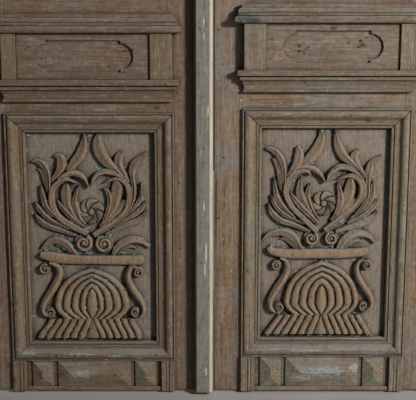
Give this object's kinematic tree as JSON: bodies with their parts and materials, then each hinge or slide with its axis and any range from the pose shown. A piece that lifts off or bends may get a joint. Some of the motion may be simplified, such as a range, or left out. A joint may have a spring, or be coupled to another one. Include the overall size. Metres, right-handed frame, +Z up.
{
  "type": "pair of carved french doors",
  "caption": "Pair of old wooden french doors in their frame, with carved lower panels, planted cornices, glazed upper lights and a cremone bolt.",
  "frame": {"origin": "on the floor, midway between the jambs and midway through the thickness of the shut leaves", "axes": "+X to the right seen from the carved side, +Y from the carved side towards the room, +Z up"},
  "size_m": [1.3, 0.15, 2.434],
  "materials": {
    "weathered_pine": "stripped of paint, dry and weathered",
    "frame_wood": "stripped of paint, dry and weathered",
    "painted_strip": "worn grey paint",
    "pane": "clear old window glass",
    "old_iron": "dark, lightly rusted"
  },
  "bodies": {
    "frame": {"left_jamb": "frame_wood", "right_jamb": "frame_wood", "frame_head": "frame_wood", "left_hinge_pintles": "old_iron", "right_hinge_pintles": "old_iron", "head_keepers": "old_iron"},
    "left_leaf": {"left_hinge_stile": "weathered_pine", "left_meeting_stile": "weathered_pine", "left_bottom_rail": "weathered_pine", "left_lock_rail": "weathered_pine", "left_top_rail": "weathered_pine", "left_carved_panel": "weathered_pine", "left_panel_moulding": "weathered_pine", "left_plinth_posts": "weathered_pine", "left_plinth_blocks": "weathered_pine", "left_plinth_strip": "weathered_pine", "left_lower_cornice": "weathered_pine", "left_frieze_board": "weathered_pine", "left_frieze_blocks": "weathered_pine", "left_upper_cornice": "weathered_pine", "left_glazing_bars": "weathered_pine", "left_glass": "pane", "left_glazing_beads": "weathered_pine", "left_hinge_sockets": "old_iron", "cover_strip": "painted_strip", "bolt_plates": "old_iron"},
    "right_leaf": {"right_hinge_stile": "weathered_pine", "right_meeting_stile": "weathered_pine", "right_bottom_rail": "weathered_pine", "right_lock_rail": "weathered_pine", "right_top_rail": "weathered_pine", "right_carved_panel": "weathered_pine", "right_panel_moulding": "weathered_pine", "right_plinth_posts": "weathered_pine", "right_plinth_blocks": "weathered_pine", "right_plinth_strip": "weathered_pine", "right_lower_cornice": "weathered_pine", "right_frieze_board": "weathered_pine", "right_frieze_blocks": "weathered_pine", "right_upper_cornice": "weathered_pine", "right_glazing_bars": "weathered_pine", "right_glass": "pane", "right_glazing_beads": "weathered_pine", "right_hinge_sockets": "old_iron", "bolt_case": "old_iron", "rod_guides": "old_iron", "front_plate": "old_iron"},
    "levers": {"front_lever": "old_iron", "back_lever": "old_iron", "spindle": "old_iron"},
    "upper_rod": {"upper_rod": "old_iron"},
    "lower_rod": {"lower_rod": "old_iron"},
    "top_bolt": {"top_bolt": "old_iron"},
    "bottom_bolt": {"bottom_bolt": "old_iron"}
  },
  "joints": [
    {"name": "left_swing", "type": "hinge", "parent": "frame", "child": "left_leaf", "pos_m": [-0.6035, 0.03, 1.2], "axis": [0, 0, 1], "range_deg": [0, 110]},
    {"name": "right_swing", "type": "hinge", "parent": "frame", "child": "right_leaf", "pos_m": [0.6035, 0.03, 1.2], "axis": [0, 0, -1], "range_deg": [0, 110]},
    {"name": "lever_turn", "type": "hinge", "parent": "right_leaf", "child": "levers", "pos_m": [0.06, 0, 1.15], "axis": [0, 1, 0], "range_deg": [0, 90]},
    {"name": "upper_rod_slide", "type": "slide", "parent": "right_leaf", "child": "upper_rod", "axis": [0, 0, 1], "range_m": [0, 0.018]},
    {"name": "lower_rod_slide", "type": "slide", "parent": "right_leaf", "child": "lower_rod", "axis": [0, 0, -1], "range_m": [0, 0.018]},
    {"name": "top_bolt_slide", "type": "slide", "parent": "left_leaf", "child": "top_bolt", "axis": [0, 0, 1], "range_m": [0, 0.03]},
    {"name": "bottom_bolt_slide", "type": "slide", "parent": "left_leaf", "child": "bottom_bolt", "axis": [0, 0, -1], "range_m": [0, 0.03]}
  ],
  "couplings": [
    {"joint": "upper_rod_slide", "follows": "lever_turn", "m_per_rad": 0.011459},
    {"joint": "lower_rod_slide", "follows": "lever_turn", "m_per_rad": 0.011459}
  ]
}
